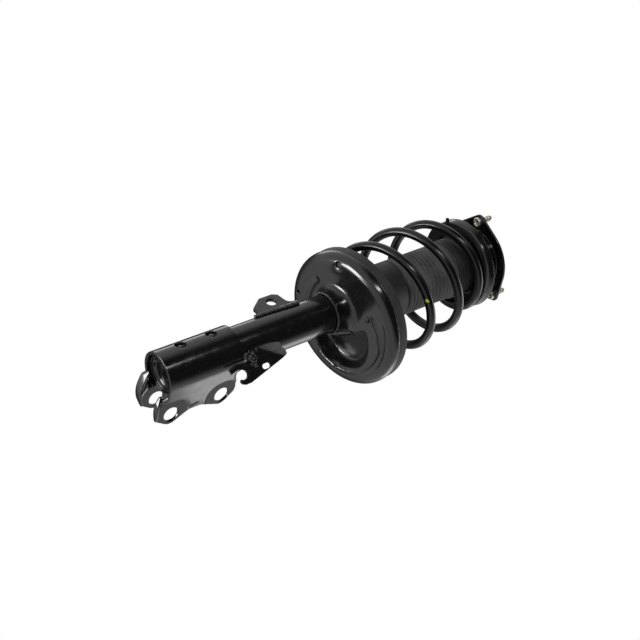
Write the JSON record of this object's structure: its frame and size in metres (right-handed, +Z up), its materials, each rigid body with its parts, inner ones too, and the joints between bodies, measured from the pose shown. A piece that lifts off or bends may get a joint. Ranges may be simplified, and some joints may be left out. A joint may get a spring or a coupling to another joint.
{
  "type": "suspension strut assembly",
  "caption": "Front suspension strut with a damper tube, clamp bracket for the wheel knuckle, coil spring between dished seats, ribbed dust boot and studded top mount.",
  "frame": {"origin": "on the damper tube's axis at the lower end of the knuckle bracket's wrap", "axes": "+Z up the strut to the top mount, +X from the tube to the knuckle bolts, +Y to the ear on the link tab's side"},
  "size_m": [0.183, 0.1798, 0.5378],
  "materials": {
    "black_paint": "gloss black paint on steel sheet and tube",
    "spring_coat": "semi-gloss black powder coat on spring wire",
    "rubber": "matt black rubber",
    "zinc": "yellow-tinged zinc plating",
    "bright_steel": "ground and polished steel",
    "nylon": "matt nylon",
    "foam": "tan microcellular polyurethane"
  },
  "bodies": {
    "strut_body": {"strut_tube": "black_paint", "tube_base": "black_paint", "tube_end_cap": "black_paint", "knuckle_bracket": "black_paint", "link_tab": "black_paint", "hose_bracket": "black_paint", "lower_spring_seat": "black_paint", "lower_insulator": "rubber", "coil_spring": "spring_coat", "dust_boot": "rubber", "pressure_cylinder": "bright_steel", "base_valve": "bright_steel", "rod_guide": "bright_steel", "oil_seal": "rubber"},
    "upper_seat": {"upper_insulator": "rubber", "upper_spring_seat": "black_paint", "bearing_lower_race": "bright_steel", "bearing_cage": "nylon"},
    "top_mount": {"bearing_upper_race": "bright_steel", "mount_plate": "black_paint", "mount_rubber": "rubber", "mount_sleeve": "bright_steel", "mount_stud_1": "zinc", "mount_stud_2": "zinc", "mount_stud_3": "zinc", "piston_rod": "bright_steel", "piston": "bright_steel", "rebound_stop": "nylon", "bump_stop": "foam", "rod_washer": "zinc", "rod_nut": "zinc"}
  },
  "joints": [
    {"name": "damper_stroke", "type": "slide", "parent": "strut_body", "child": "upper_seat", "axis": [0, 0, -1], "range_m": [0, 0.074], "stiffness_N_per_m": 25000, "springref_m": -0.002, "deforming": ["coil_spring", "dust_boot"]},
    {"name": "steering_turn", "type": "hinge", "parent": "upper_seat", "child": "top_mount", "pos_m": [0, 0, 0.4787], "axis": [0, 0, 1], "range_deg": [-40, 40]}
  ]
}
